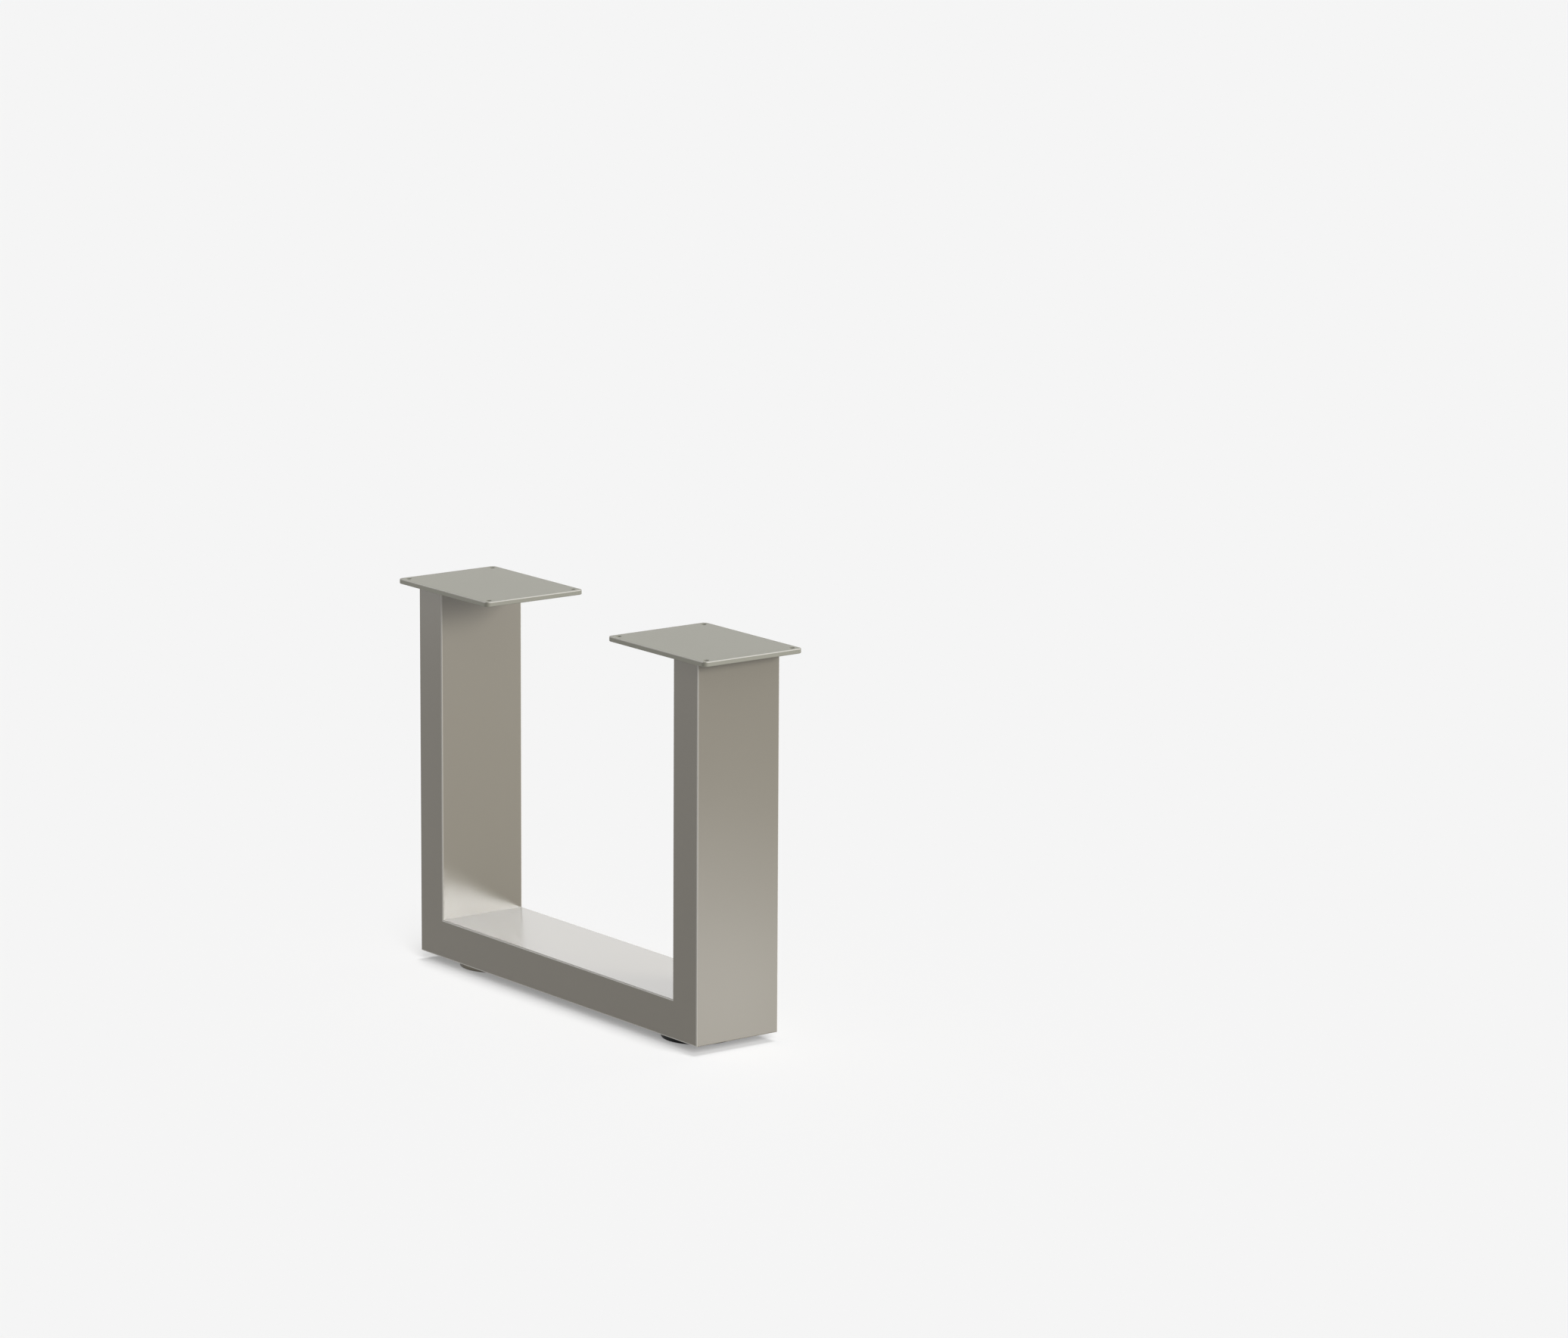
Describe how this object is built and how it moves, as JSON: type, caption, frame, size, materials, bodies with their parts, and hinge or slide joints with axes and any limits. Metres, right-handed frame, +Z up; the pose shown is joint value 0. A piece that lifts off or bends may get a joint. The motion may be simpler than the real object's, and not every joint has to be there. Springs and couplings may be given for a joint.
{
  "type": "u shaped table leg",
  "caption": "U-shaped table leg of mitred rectangular steel tube, with a screw plate on each upright and low round glide feet.",
  "frame": {"origin": "on the floor under the middle of the leg, centre of the bounding box's lower face", "axes": "+X along the leg's width from the left upright to the right one, +Y through the depth, away from the side that the picture shows as the front, +Z up"},
  "size_m": [0.528, 0.12, 0.4],
  "materials": {
    "frame_finish": "satin nickel-grey metallic coat",
    "steel_disc": "satin nickel-grey metallic coat",
    "black_disc": "fine moulded black",
    "foot_pad": "matt",
    "zinc_plated_steel": "bright zinc plate"
  },
  "bodies": {
    "root": {"bottom_bar": "frame_finish", "left_upright": "frame_finish", "right_upright": "frame_finish", "left_mounting_plate": "frame_finish", "right_mounting_plate": "frame_finish", "left_foot_disc": "steel_disc", "right_foot_disc": "black_disc", "left_foot_pad": "foot_pad", "right_foot_pad": "foot_pad", "left_foot_screw": "zinc_plated_steel", "right_foot_screw": "zinc_plated_steel", "left_threaded_insert": "zinc_plated_steel", "right_threaded_insert": "zinc_plated_steel"}
  },
  "joints": []
}
